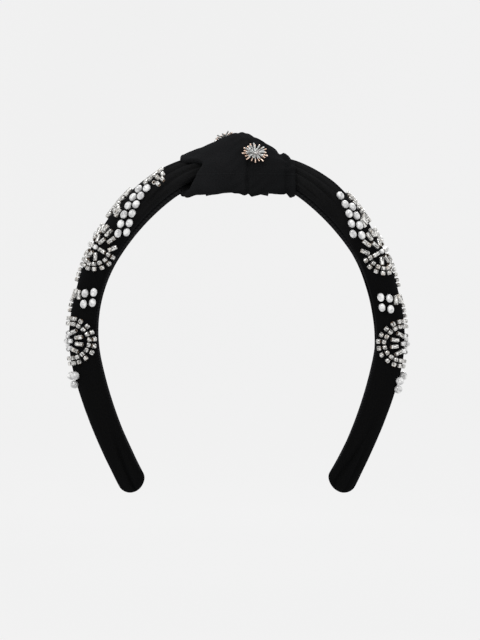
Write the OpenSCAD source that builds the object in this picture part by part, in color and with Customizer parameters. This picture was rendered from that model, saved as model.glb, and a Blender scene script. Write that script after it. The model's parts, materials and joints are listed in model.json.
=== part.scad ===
// Padded headband with a knotted crown and beaded arms.
// Frame: +Z up, +X to the wearer's left hand side of the drawing, front is -Y.
// Origin: centre of the round head space that the two arms clamp.

/* [Head space] */
// Radius of the round wall that grips the head, so the inside width is twice this
head_r = 60; // [55:1:66]
// Radius of the flatter shoulder arc above the grip
shoulder_r = 98; // [85:1:110]
// Radius of the lower arm arc that closes in towards the tip
lower_r = 180; // [150:5:260]
// Length of one arm of the band, from the middle of the crown to its tip
arm_length = 168; // [162:1:170]

/* [Band section] */
// Half of the band's width where the arm leaves the knot
half_width_knot = 19; // [15:0.5:22]
// Half of the band's width at the temple
half_width_side = 9.5; // [8:0.5:13]
// Half of the band's width at the tip
half_width_tip = 6.2; // [5:0.2:9]
// Padded height at the shoulder
height_shoulder = 13.6; // [11:0.2:16]
// Padded height at the temple
height_side = 12.4; // [11:0.2:13]
// Padded height at the tip
height_tip = 11.4; // [9.6:0.2:12]

/* [Layers] */
// Thickness of the ribbon that lines the inside
lining_t = 0.6; // [0.4:0.1:0.8]
// Thickness of the fabric sleeve
fabric_t = 0.6; // [0.4:0.1:0.8]
// Thickness of the springy plastic core
core_t = 1.6; // [1.2:0.1:2]

/* [Knot] */
// Half of the knot's length along the band
knot_half = 23.4; // [22:0.1:23.5]
// Half of the knot's depth from front to back
knot_depth = 22; // [21:0.5:25]
// Height of the knot's top above the origin
knot_top = 85; // [82:0.5:90]
// Place of the crease where the two loops meet
knot_crease = 4.4; // [0:0.2:8]

/* [Flex] */
// Distance along the band from its middle to the line where each arm flexes
flex_at = 25; // [24.8:0.1:26]
// Gap between the crown and each arm at that line
flex_gap = 0.5; // [0.4:0.1:1]

/* [Beads] */
// Diameter of an oval pearl
pearl_d = 3.2; // [2.8:0.1:3.3]
// Length of an oval pearl
pearl_l = 3.6; // [3.2:0.1:3.7]
// Diameter of a round pearl
round_pearl_d = 3.6; // [3:0.1:3.8]
// Diameter of a seed bead
seed_d = 2; // [1.6:0.1:2.1]
// Length of a seed bead
seed_l = 1.6; // [1.2:0.1:1.8]
// Diameter of a bugle bead
bugle_d = 1.8; // [1.5:0.1:1.9]
// Length of a bugle bead
bugle_l = 3.8; // [3:0.2:4]
// Number of bead pairs round the lower rosette
rosette_pairs = 30; // [24:1:31]
// How far the right arm's beads sit further from the knot than the left arm's
right_shift = 2; // [0:0.5:2]

/* [Stars] */
// Radius of a starburst to the ends of its rays
star_r = 5.7; // [4.5:0.1:6.5]
// Number of rays of each metal on a starburst
star_rays = 8; // [6:1:9]

/* [Hidden] */
ARM_PARTS = [
    "core", "foam", "cover", "lining", "pearl_rows", "crest_leaf", "bugle_block",
    "seed_chains", "chain_threads", "upper_rosette_seeds", "upper_rosette_bugles",
    "pearl_squares", "fan_bugles", "lower_rosette_seeds", "lower_rosette_bugles",
    "rosette_centres", "end_pearls"];
$fn = 48;

black = "#161616";
foam_grey = "#c9c4b8";
core_white = "#e4e2da";
pearl_white = "#f1efec";
glass = "#cfd2d2";
silver = "#d6d6d8";
gold = "#c99a63";

deg = 180 / PI;
air = 0.05; // least gap between neighbouring solids

// The inner face is a chain of arcs. Its slope, in degrees from level, is 0 at the crown.
shoulder_from = 39;
grip_from = 58;
grip_to = 102;
crown_r = (head_r * sin(grip_from) - shoulder_r * (sin(grip_from) - sin(shoulder_from)))
    / sin(shoulder_from);
crown_z = head_r * cos(grip_from) + shoulder_r * (cos(shoulder_from) - cos(grip_from))
    + crown_r * (1 - cos(shoulder_from));
ARCS = [
    [crown_r, 0, shoulder_from],
    [shoulder_r, shoulder_from, grip_from],
    [head_r, grip_from, grip_to],
    [lower_r, grip_to, 125]];

// Length of arc i of the inner face
function arc_length(i) = ARCS[i][0] * (ARCS[i][2] - ARCS[i][1]) / deg;

// A point [x, z, slope] on the inner face of the right arm, t mm from the crown
function spine(t, i = 0, p = [0, crown_z]) =
    let (r = ARCS[i][0], a = ARCS[i][1], past = t > arc_length(i) && i < 3)
    let (b = past ? ARCS[i][2] : a + t / r * deg)
    let (q = p + r * [sin(b) - sin(a), cos(b) - cos(a)])
    past ? spine(t - arc_length(i), i + 1, q) : [q[0], q[1], b];

// Centre of arc i of the inner face
function arc_centre(i) =
    let (start = i == 0 ? 0 : i == 1 ? arc_length(0) : i == 2 ? arc_length(0) + arc_length(1)
        : arc_length(0) + arc_length(1) + arc_length(2))
    let (s = spine(start + 0.001))
    [s[0] - ARCS[i][0] * sin(s[2]), s[1] - ARCS[i][0] * cos(s[2])];

// Half width and padded height of the covered band, t mm from the crown
function half_width(t) = lookup(t, [
    [0, half_width_knot + 0.5],
    [25, half_width_knot],
    [45, half_width_knot - 2.5],
    [65, (half_width_knot + half_width_side) / 2 - 0.5],
    [85, half_width_side + 1.8],
    [102, half_width_side],
    [135, (half_width_side + half_width_tip) / 2 + 0.3],
    [161, half_width_tip]]);
function height(t) = lookup(t, [
    [0, height_shoulder - 2.2],
    [23, height_shoulder - 2.2],
    [36, height_shoulder - 0.2],
    [46, height_shoulder],
    [66, height_shoulder - 1.5],
    [84, height_side - 1.2],
    [102, height_side - 0.1],
    [112, height_side + 0.2],
    [125, height_side - 0.3],
    [144, height_tip + 0.1],
    [161, height_tip]]);

// How much a section shrinks towards the round end of the arm
tip_round = 5;
function tip_scale(t) =
    let (u = max(0, (t - (arm_length - tip_round)) / tip_round))
    sqrt(max(0, 1 - u * u));

widest_at = 0.32; // height of the widest point over the whole height

// A closed section: upper half an ellipse, lower half a flat base with round corners.
// phi is 0 at the crest, +90 at the front edge, 180 at the middle of the base.
function section_point(b, top, mid, base, phi) =
    let (s = sin(phi), c = cos(phi))
    c >= 0 ? [b * s, mid + (top - mid) * c]
        : [b * sign(s) * sqrt(abs(s)), mid - (mid - base) * sqrt(abs(c))];

// The sleeve's outline at t, pulled in by inset, from the base height up
function band_section(t, phi, inset = 0, base = lining_t + air) =
    let (k = tip_scale(t), top = height(t), middle = (top + base) / 2)
    let (p = section_point((half_width(t) - inset) * k, top - inset, widest_at * top,
        base, phi))
    [p[0], middle + (p[1] - middle) * k];

// A point of the band in space: y across towards the front, h out from the inner face
function band_place(t, y, h) =
    let (s = spine(t))
    [s[0] + h * sin(s[2]), -y, s[1] + h * cos(s[2])];
function band_point(t, phi) =
    let (p = band_section(t, phi))
    band_place(t, p[0], p[1]);

// Distance along the surface from the crest for each 5 degrees of phi, then its inverse
function arc_rows(t, phi = 0, sum = 0) =
    phi > 150 ? []
        : let (step = norm(band_section(t, phi + 5) - band_section(t, phi)))
        concat([[sum, phi]], arc_rows(t, phi + 5, sum + step));
function phi_at(t, s) = sign(s) * lookup(abs(s), arc_rows(t));

// Places its child on the sleeve: local x runs down the arm, local z points off the surface
module on_band(t, s, lift = 0, spin = 0) {
    phi = phi_at(t, s);
    p = band_point(t, phi);
    along = band_point(t + 0.5, phi) - band_point(t - 0.5, phi);
    across = band_point(t, phi - 1) - band_point(t, phi + 1);
    z = cross(along, across) / norm(cross(along, across));
    x = (along - (along * z) * z) / norm(along - (along * z) * z);
    y = cross(z, x);
    q = p + z * lift;
    multmatrix([
        [x[0], y[0], z[0], q[0]],
        [x[1], y[1], z[1], q[1]],
        [x[2], y[2], z[2], q[2]],
        [0, 0, 0, 1]])
        rotate([0, 0, spin])
            children();
}

// A skin swept through rings of points, with both ends closed by a fan
module skin(rings) {
    n = len(rings[0]);
    m = len(rings);
    points = [for (r = rings) for (p = r) p];
    sides = [for (i = [0:m - 2]) for (j = [0:n - 1])
        each [[i * n + j, (i + 1) * n + j, i * n + (j + 1) % n],
            [(i + 1) * n + j, (i + 1) * n + (j + 1) % n, i * n + (j + 1) % n]]];
    first = [for (j = [n - 1:-1:0]) n - 1 - j];
    last = [for (j = [n - 1:-1:0]) (m - 1) * n + j];
    polyhedron(points, concat(sides, [first], [last]));
}

// A sleeve: an outer and an inner skin, joined at the first ring. With close_end the far
// end of each skin is closed, so the sleeve is a sock; otherwise that end is joined too.
module sleeve(outer, inner, close_end) {
    n = len(outer[0]);
    m = len(outer);
    start = n * m;
    points = concat([for (r = outer) for (p = r) p], [for (r = inner) for (p = r) p]);
    sides = [for (i = [0:m - 2]) for (j = [0:n - 1])
        let (k = (j + 1) % n)
        each [[i * n + j, (i + 1) * n + j, i * n + k],
            [(i + 1) * n + j, (i + 1) * n + k, i * n + k],
            [start + i * n + j, start + i * n + k, start + (i + 1) * n + j],
            [start + (i + 1) * n + j, start + i * n + k, start + (i + 1) * n + k]]];
    mouth = [for (j = [0:n - 1])
        let (k = (j + 1) % n)
        each [[j, k, start + j], [k, start + k, start + j]]];
    far = (m - 1) * n;
    rim = [for (j = [0:n - 1])
        let (k = (j + 1) % n)
        each [[far + j, start + far + j, far + k], [far + k, start + far + j, start + far + k]]];
    outer_end = [for (j = [n - 1:-1:0]) far + j];
    inner_end = [for (j = [0:n - 1]) start + far + j];
    polyhedron(points, concat(sides, mouth, close_end ? [outer_end, inner_end] : rim));
}

sides_n = 24; // points round a section
end_slant = 0.2; // how far each arm's end leans back from the knot, per mm of height

// Places of the rings along an arm, closer together at the tip
function ring_places(from, to) =
    let (body = to - tip_round - from, n = round(body / 4.6))
    concat([for (i = [0:n]) from + body * i / n],
        [for (u = [0.35, 0.6, 0.8, 0.92, 0.985]) to - tip_round + tip_round * u]);

// One ring of an arm. The first ring leans back so that the arm can flex open.
function arm_ring(t, from, inset, base) =
    [for (j = [0:sides_n - 1])
        let (p = band_section(t, j * 360 / sides_n, inset, base))
        band_place(t + (t == from ? end_slant * max(0, p[1] - core_top) : 0), p[0], p[1])];

core_base = lining_t + fabric_t + 0.35;
core_top = core_base + core_t;
foam_base = core_top + air;
arm_from = flex_at + flex_gap / 2 + 0.05;

// A strip that follows the inner face between two slopes, h mm out and thick mm thick
module strip_arc(i, from, to, h, thick, half) {
    c = arc_centre(i);
    translate([c[0], 0, c[1]])
        rotate([90, 0, 0])
            rotate_extrude(angle = to - from, start = 90 - to, $fn = 180)
                translate([ARCS[i][0] + h, -half])
                    square([thick, 2 * half]);
}

// The same strip along an arm from t = from to t = to
module strip_arm(from, to, h, thick, half) {
    lap = 0.05; // neighbouring arcs overlap by this angle so that they join
    strip_arc(0, spine(from)[2], shoulder_from + lap, h, thick, half);
    strip_arc(1, shoulder_from - lap, grip_from + lap, h, thick, half);
    strip_arc(2, grip_from, grip_to, h, thick, half);
    strip_arc(3, grip_to - lap, spine(to)[2], h, thick, half);
}

// A block as wide as keep times the sleeve's half width, to taper a strip
module taper(keep) {
    rows = [for (t = [24, 45, 65, 85, 102, 135, arm_length]) [keep * half_width(t), spine(t)[1]]];
    left = [for (r = rows) [-r[0], r[1]]];
    right = [for (i = [len(rows) - 1:-1:0]) rows[i]];
    top = crown_z + 8;
    rotate([90, 0, 90])
        linear_extrude(head_r * 2)
            polygon(concat([[rows[0][0], top], [-rows[0][0], top]], left, right));
}

module core_arm() {
    color(core_white)
        intersection() {
            strip_arm(arm_from, arm_length - 6, core_base, core_t, half_width_knot);
            taper(0.74);
        }
}

module foam_arm() {
    inset = fabric_t + 2 * air;
    color(foam_grey)
        skin([for (t = ring_places(arm_from, arm_length - 3))
            arm_ring(min(t, arm_length - 1.3), arm_from, inset, foam_base)]);
}

module cover_arm() {
    places = ring_places(arm_from, arm_length);
    color(black)
        sleeve(
            [for (t = places) arm_ring(t, arm_from, 0, lining_t + air)],
            [for (t = places)
                arm_ring(min(t, arm_length - 0.1), arm_from, fabric_t, lining_t + air + fabric_t)],
            true);
}

module lining_arm() {
    color(black)
        intersection() {
            strip_arm(arm_from, arm_length - 7, 0, lining_t, half_width_knot);
            taper(0.66);
        }
}

// Beads ------------------------------------------------------------------------------

hole_r = 0.35;

// A barrel with a bulging side and a thread hole along x. Its radius is end_r at both ends.
module barrel(d, l, end_r, steps = 8) {
    turn = acos(end_r / (d / 2));
    side = [for (i = [-steps:2:steps])
        let (a = turn * i / steps)
        [d / 2 * cos(a), l / 2 * sin(a) / sin(turn)]];
    rotate([0, 90, 0])
        rotate_extrude()
            polygon(concat([[hole_r, -l / 2]], side, [[hole_r, l / 2]]));
}

module oval_pearl() {
    color(pearl_white)
        barrel(pearl_d, pearl_l, 0.6);
}

module round_pearl(d) {
    color(pearl_white)
        barrel(d, 0.95 * d, 0.55);
}

module seed() {
    color(glass)
        barrel(seed_d, seed_l, 0.72, 4);
}

module bugle(l = bugle_l) {
    color(glass)
        rotate([0, 90, 0])
            difference() {
                cylinder(d = bugle_d, h = l, center = true);
                cylinder(d = bugle_d * 0.48, h = l + 1, center = true);
            }
}

pearl_lift = pearl_d / 2 + air;
seed_lift = seed_d / 2 + air;
bugle_lift = bugle_d / 2 + 3 * air;

// Two staggered rows of oval pearls that run from the crest down to the edge, front and
// back. The rows start at pearl number first; a shifted arm's rows lie nearer the crest.
module pearl_rows(shift, first) {
    for (face = [1, -1])
        for (row = [[35.6, 17.4, first], [38.1, 14.9, 2 * first]])
            for (i = [row[2]:5])
                on_band(row[0] + 3.65 * i + shift,
                        face * (row[1] + 0.7 * i - shift * (1.7 - 0.17 * i)), pearl_lift,
                        face * -12)
                    oval_pearl();
}

// A small spray of seed beads and short bugle beads at the knot's foot
module knot_cluster() {
    for (k = [0, 1])
        for (i = [0:3])
            on_band(27.2 + 2.2 * i + 0.9 * k, 11 + 2.3 * k + 0.35 * i, seed_lift, 0)
                seed();
    for (p = [[27.8, 16.2], [30, 16.4], [32.2, 16.8], [28.9, 18.8], [31.2, 19.2]])
        on_band(p[0], p[1], bugle_lift, 80)
            bugle(2);
}

// Five rows of seed beads along the crest, like a leaf
module crest_leaf(shift) {
    for (row = [-1:3])
        for (i = [0:row == 3 ? 3 : 6 - abs(row - 1)])
            on_band(40.6 + 2.15 * (i + abs(row - 1) / 2) + shift, 0.6 + 2.2 * row, seed_lift, 0)
                seed();
}

// A block of bugle beads laid side by side
module bugle_block(shift) {
    for (i = [0:2])
        on_band(49.2 + 0.5 * i + 2.4 * shift, 9.3 + 1.9 * i - 0.1 * shift, bugle_lift, -6)
            bugle();
}

chain_runs = [[57.6, 1], [69.8, 5], [86.8, 2]]; // first bead and number of gaps of each chain
chain_pitch = 1.9;
module seed_chains(shift) {
    for (run = chain_runs)
        for (i = [0:run[1]])
            on_band(run[0] + chain_pitch * i + shift, 0.6, seed_lift, 0)
                seed();
}

// The thread that runs through each chain
module chain_threads(shift) {
    color("white")
        for (run = chain_runs)
            for (i = [0:run[1]])
                on_band(run[0] + chain_pitch * i + shift, 0.6, seed_lift, 0)
                    rotate([0, 90, 0])
                        cylinder(d = 0.25, h = chain_pitch - 0.06, center = true);
}

// Upper rosette: a round one that lies on the front of the crest. Its far side is a ring of
// seed pairs, the side towards the knot is a fan of bugles, and bugle spokes fill it.
upper_t = 65.8;
upper_s = 11.4;
module upper_rosette_seeds(shift) {
    for (i = [-5:4])
        for (r = [6.4, 8.2])
            on_band(upper_t + shift + r * cos(22.5 * i), upper_s - shift / 2 + r * sin(22.5 * i),
                    seed_lift, -22.5 * i)
                seed();
}
module upper_rosette_bugles(shift) {
    for (i = [5:10])
        on_band(upper_t + shift + 7.9 * cos(22.5 * i), upper_s - shift / 2 + 7.9 * sin(22.5 * i),
                bugle_lift, 12 * (8 - i))
            bugle();
    for (i = [0:5])
        on_band(upper_t + shift + 3.7 * cos(60 * i + 30),
                upper_s - shift / 2 + 3.7 * sin(60 * i + 30), bugle_lift, -60 * i - 30)
            bugle(3.4);
}

// Lower rosette: a long one that lies right across the crest, with its seed pairs all round
// and four bugle spokes on each face
lower_t = 101.6;
lower_straight = 7.9; // half the length of its straight sides
lower_mid = 7.15; // radius of its round ends, midway between the two rings

function flip(p) = [-p[0], -p[1], p[2] + 180];

// A point [t, s, angle] of an outline with straight sides and round ends, u mm along it and
// out mm outside it
function long_oval(u, out) =
    let (side = 2 * lower_straight, bend = 180 * lower_mid / deg, half = side + bend)
    u >= half ? flip(long_oval(u - half, out))
    : u < side ? [lower_mid + out, lower_straight - u, 0]
    : let (a = (u - side) / lower_mid * deg)
        [(lower_mid + out) * cos(a), -lower_straight - (lower_mid + out) * sin(a), -a];
module lower_rosette_seeds(shift) {
    total = 4 * lower_straight + 360 * lower_mid / deg;
    for (i = [0:rosette_pairs - 1])
        for (out = [-0.95, 0.95]) {
            p = long_oval(total * (i + 0.5) / rosette_pairs, out);
            on_band(lower_t + shift / 2 + p[0], p[1], seed_lift, -p[2])
                seed();
        }
}
module lower_rosette_bugles(shift) {
    for (face = [1, -1])
        for (p = [[-3.3, 8.4, 112], [-1.2, 10.8, 98], [1.4, 10.8, 82], [3.6, 8.4, 66]])
            on_band(lower_t + shift / 2 + p[0], face * p[1], bugle_lift, -face * p[2])
                bugle(3.4);
}

// A pearl at the middle of each rosette, two more on the crest beside the upper one, and
// rings of seed beads round the lower one
module rosette_centres(shift) {
    on_band(upper_t + shift, upper_s - shift / 2, 1.1 + air, 0)
        round_pearl(2.2);
    for (i = [0, 1])
        on_band(61.6 + 4.3 * i + shift, -0.7, 1.3 + air, 0)
            round_pearl(2.6);
    on_band(lower_t + shift / 2, 0, 1.3 + air, 0)
        round_pearl(2.6);
    for (i = [0:5])
        on_band(lower_t + shift / 2 + 2.9 * cos(60 * i), 2.9 * sin(60 * i), seed_lift,
                90 - 60 * i)
            seed();
    for (face = [1, -1])
        for (i = [-1:1])
            on_band(lower_t + shift / 2 + 2.6 * i, face * (6 - 0.5 * abs(i)), seed_lift, 0)
                seed();
}

// Two by two oval pearls, front and back
module pearl_squares(shift) {
    for (face = [1, -1])
        for (i = [0, 1])
            for (k = [0, 1])
                on_band(83.3 + 4.2 * i - 1.2 * k + shift, face * (12.8 + 3.1 * k), pearl_lift, 0)
                    oval_pearl();
}

// A fan of three bugle beads beside each square
module fan_bugles(shift) {
    for (i = [-1:1])
        on_band(84.2 + shift + 0.3 * abs(i), 7 + 2.5 * i, bugle_lift, -13 * i)
            bugle();
}

// Three round pearls in a cluster that ends the beading
module end_pearls(shift) {
    for (p = [[0, 2.2 - shift], [0.3 + shift, 6.2 - shift], [3.7 + shift, 3.2]])
        on_band(114.3 + p[0], p[1], round_pearl_d / 2 + air, 90)
            round_pearl(round_pearl_d);
}

// Crown ------------------------------------------------------------------------------

function inner_z(x) = crown_z - crown_r + sqrt(crown_r * crown_r - x * x);
crown_to = flex_at - flex_gap / 2;

module core_crown() {
    color(core_white)
        for (side = [0, 1])
            mirror([side, 0, 0])
                strip_arc(0, 0, spine(crown_to)[2], core_base, core_t, 0.74 * half_width_knot);
}

// Height of the knot's top along its length, and of its underside
function knot_top_z(x) = lookup(x, [
    [-knot_half, knot_top - 13.5],
    [-19, knot_top - 9.2],
    [-15, knot_top - 6.4],
    [-10, knot_top - 3.9],
    [-3, knot_top - 0.9],
    [1, knot_top],
    [4, knot_top - 0.8],
    [9, knot_top - 3.2],
    [15, knot_top - 7.2],
    [18, knot_top - 10.2],
    [knot_half, knot_top - 13.5]]);
lining_angle = 13; // the knot's lining reaches this far each side of the top
function knot_base_z(x) =
    let (r = head_r + lining_t + air, edge = r * sin(lining_angle + 0.4))
    abs(x) < edge ? sqrt(r * r - x * x)
        : lookup(abs(x), [[edge, sqrt(r * r - edge * edge)], [knot_half, crown_z - 8]]);
function knot_half_depth(x) = knot_depth - 1.2 * pow(x / knot_half, 2);
knot_mid = crown_z - 0.4;

// The knot's ends lean out until they are square to the band: a point at height z moves out
// by this
end_z = spine(flex_at)[1];
function end_lean(x, z) = sign(x) * tan(spine(flex_at)[2]) * (z - end_z) * pow(x / knot_half, 4);

crown_height = height_shoulder - 4.8; // of the foam that the knot squeezes down

// One ring of the knot's outside at x, and one of the space for the band inside it
function knot_ring(x) = [for (j = [0:sides_n - 1])
    let (p = section_point(knot_half_depth(x), knot_top_z(x), knot_mid, knot_base_z(x),
        j * 360 / sides_n))
    [x + end_lean(x, p[1]), -p[0], p[1]]];
function crown_ring(x, grow) = [for (j = [0:sides_n - 1])
    let (z = inner_z(x), steep = 1 / sqrt(1 - pow(x / crown_r, 2)))
    let (p = section_point(half_width_knot - 1.2 + grow, z + crown_height * steep + grow,
        z + 5.2, z + 1.4, j * 360 / sides_n))
    [x + end_lean(x, p[1]), -p[0], p[1]]];

module knot_loop(from, to) {
    places = [for (i = [0:10]) from + (to - from) * i / 10];
    color(black)
        sleeve([for (x = places) knot_ring(x)], [for (x = places) crown_ring(x, 0.15)], false);
}

// Foam over the crown's core, inside the knot
module foam_crown() {
    places = [for (i = [-6:6]) i / 6 * (spine(crown_to)[0] - 1)];
    color(foam_grey)
        skin([for (x = places) [for (p = crown_ring(x, 0))
            let (steep = 1 / sqrt(1 - pow(p[0] / crown_r, 2)))
            [p[0], p[1], max(p[2], inner_z(p[0]) + (core_top + 0.1) * steep)]]]);
}

module knot_lining() {
    color(black)
        rotate([90, 0, 0])
            rotate_extrude(angle = 2 * lining_angle, start = 90 - lining_angle, $fn = 180)
                translate([head_r, -12])
                    square([lining_t, 24]);
}

// Starbursts -------------------------------------------------------------------------

// Places its child on the knot's outside: local z points off the cloth
module on_knot(x, phi, lift) {
    p = section_point(knot_half_depth(x), knot_top_z(x), knot_mid, knot_base_z(x), phi);
    e = 1.5;
    slope = atan((knot_top_z(x + e) - knot_top_z(x - e)) * cos(phi) / (2 * e));
    lean = atan2(sin(phi) / knot_depth, cos(phi) / (knot_top_z(x) - knot_mid));
    translate([x, -p[0], p[1]])
        rotate([0, -slope, 0])
            rotate([lean, 0, 0])
                translate([0, 0, lift])
                    children();
}

star_base_r = 2.7;
star_base_h = 0.9;
star_lift = 1;
ray_t = 0.8;

module star_base() {
    color(silver)
        difference() {
            cylinder(r = star_base_r, h = star_base_h);
            translate([0, 0, -0.1])
                cylinder(r = 0.4, h = star_base_h + 0.2);
        }
}

// Flat tapered rays of the lower tier, set round the base
module star_gold_rays() {
    color(gold)
        for (i = [0:star_rays - 1])
            rotate([0, 0, 360 * (i + 0.5) / star_rays])
                linear_extrude(ray_t)
                    polygon([[star_base_r + air, -0.5], [star_r - 0.7, -0.85], [star_r, 0],
                        [star_r - 0.7, 0.85], [star_base_r + air, 0.5]]);
}

// Round silver bars of the upper tier, tipped up a little
module star_silver_rays() {
    color(silver)
        for (i = [0:star_rays - 1])
            rotate([0, 0, 360 * i / star_rays])
                translate([1.75, 0, star_base_h + 0.62])
                    rotate([0, 82, 0])
                        difference() {
                            cylinder(d = 1.1, h = star_r - 1.9);
                            translate([0, 0, -0.1])
                                cylinder(d = 0.4, h = star_r);
                        }
}

// A ring of small faceted crystals round a larger one
module star_crystals() {
    color(glass) {
        translate([0, 0, star_base_h + air])
            cut_crystal(0.95, 1.5);
        for (i = [0:5])
            rotate([0, 0, 60 * i + 30])
                translate([1.75, 0, star_base_h + 1.45])
                    cut_crystal(0.5, 0.7);
    }
}

module cut_crystal(r, h) {
    cylinder(r = r, h = h * 0.55, $fn = 8);
    translate([0, 0, h * 0.55])
        cylinder(r1 = r, r2 = r * 0.55, h = h * 0.45, $fn = 8);
}

module front_star() {
    on_knot(7.4, 62, star_lift)
        children();
}

module rear_star() {
    on_knot(-4.8, -25, star_lift)
        children();
}

// The right arm is drawn as it is; the left arm is its mirror image with its own shift
module arm_part(name, shift, first) {
    if (name == "core") core_arm();
    if (name == "foam") foam_arm();
    if (name == "cover") cover_arm();
    if (name == "lining") lining_arm();
    if (name == "pearl_rows") pearl_rows(shift, first);
    if (name == "crest_leaf") crest_leaf(shift);
    if (name == "bugle_block") bugle_block(shift);
    if (name == "seed_chains") seed_chains(shift);
    if (name == "chain_threads") chain_threads(shift);
    if (name == "upper_rosette_seeds") upper_rosette_seeds(shift);
    if (name == "upper_rosette_bugles") upper_rosette_bugles(shift);
    if (name == "pearl_squares") pearl_squares(shift);
    if (name == "fan_bugles") fan_bugles(shift);
    if (name == "lower_rosette_seeds") lower_rosette_seeds(shift);
    if (name == "lower_rosette_bugles") lower_rosette_bugles(shift);
    if (name == "rosette_centres") rosette_centres(shift);
    if (name == "end_pearls") end_pearls(shift);
}

core_crown();
foam_crown();
knot_loop(-knot_half, knot_crease - air);  // knot_left_loop
knot_loop(knot_crease + air, knot_half);  // knot_right_loop
knot_lining();
front_star() star_base();  // front_star_base
front_star() star_gold_rays();  // front_star_gold_rays
front_star() star_silver_rays();  // front_star_silver_rays
front_star() star_crystals();  // front_star_crystals
rear_star() star_base();  // rear_star_base
rear_star() star_gold_rays();  // rear_star_gold_rays
rear_star() star_silver_rays();  // rear_star_silver_rays
rear_star() star_crystals();  // rear_star_crystals
mirror([1, 0, 0]) knot_cluster();  // knot_cluster_left
for (name = ARM_PARTS) {
    mirror([1, 0, 0]) arm_part(name, 0, 0);
    arm_part(name, right_shift, 1);
}
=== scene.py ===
import json
import math
import random
import bmesh
import bpy
import numpy as np
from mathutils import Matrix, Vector, noise
from mathutils.bvhtree import BVHTree


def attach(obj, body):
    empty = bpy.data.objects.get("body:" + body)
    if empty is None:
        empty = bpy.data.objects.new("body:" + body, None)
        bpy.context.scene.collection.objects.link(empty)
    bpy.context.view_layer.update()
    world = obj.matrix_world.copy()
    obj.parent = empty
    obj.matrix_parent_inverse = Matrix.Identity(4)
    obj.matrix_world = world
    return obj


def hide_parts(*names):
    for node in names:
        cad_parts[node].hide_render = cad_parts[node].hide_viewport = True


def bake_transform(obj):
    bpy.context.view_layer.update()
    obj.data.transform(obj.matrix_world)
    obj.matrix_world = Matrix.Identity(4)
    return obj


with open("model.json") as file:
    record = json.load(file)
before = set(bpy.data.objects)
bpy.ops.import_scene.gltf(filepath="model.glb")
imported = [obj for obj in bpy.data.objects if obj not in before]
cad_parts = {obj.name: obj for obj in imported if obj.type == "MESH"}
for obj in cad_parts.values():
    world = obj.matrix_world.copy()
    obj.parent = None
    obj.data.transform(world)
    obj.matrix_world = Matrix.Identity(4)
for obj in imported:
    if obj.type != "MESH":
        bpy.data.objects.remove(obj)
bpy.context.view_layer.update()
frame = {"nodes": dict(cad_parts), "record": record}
NODES = frame["nodes"]
SLOT = {row["node"]: row["material_slot"] for row in frame["record"]["subparts"]}
BODY = {node: body for body, nodes in frame["record"]["behaviour"]["bodies"].items() for node in nodes}

# ---------------------------------------------------------------- camera and light
CAMERA_DISTANCE = 0.9
VIEW_HEIGHT = 0.2752  # what the picture spans from top to bottom at the object
FILM = 36

cam_data = bpy.data.cameras.new("camera")
cam_data.sensor_width = FILM
cam_data.lens = FILM * CAMERA_DISTANCE / VIEW_HEIGHT
cam_data.clip_start = 0.01
cam = bpy.data.objects.new("camera", cam_data)
bpy.context.collection.objects.link(cam)
cam.location = (0.0013, -CAMERA_DISTANCE, 0.0045)
cam.rotation_euler = (math.radians(90), 0, 0)
bpy.context.scene.camera = cam
bpy.context.scene.view_settings.view_transform = "Standard"


def area_light(name, place, target, size, power):
    data = bpy.data.lights.new(name, "AREA")
    data.shape = "SQUARE"
    data.size = size
    data.energy = power
    light = bpy.data.objects.new(name, data)
    light.location = place
    light.rotation_euler = (Vector(target) - Vector(place)).to_track_quat("-Z", "Y").to_euler()
    bpy.context.collection.objects.link(light)


area_light("key", (-0.45, -0.75, 0.8), (0, 0, 0), 0.35, 3.6)
area_light("fill", (0.8, -0.6, 0.3), (0, 0, 0.02), 0.4, 0.7)
area_light("top", (0.1, 0.15, 1.0), (0, 0, 0), 0.5, 2.5)
area_light("rear", (0.2, 0.9, 0.5), (0, 0, 0.03), 0.4, 2.5)

# ---------------------------------------------------------------- materials
# where a Mix node of colours keeps its sockets
MIX_FACTOR, MIX_A, MIX_B, MIX_RESULT = 0, 6, 7, 2


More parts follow.
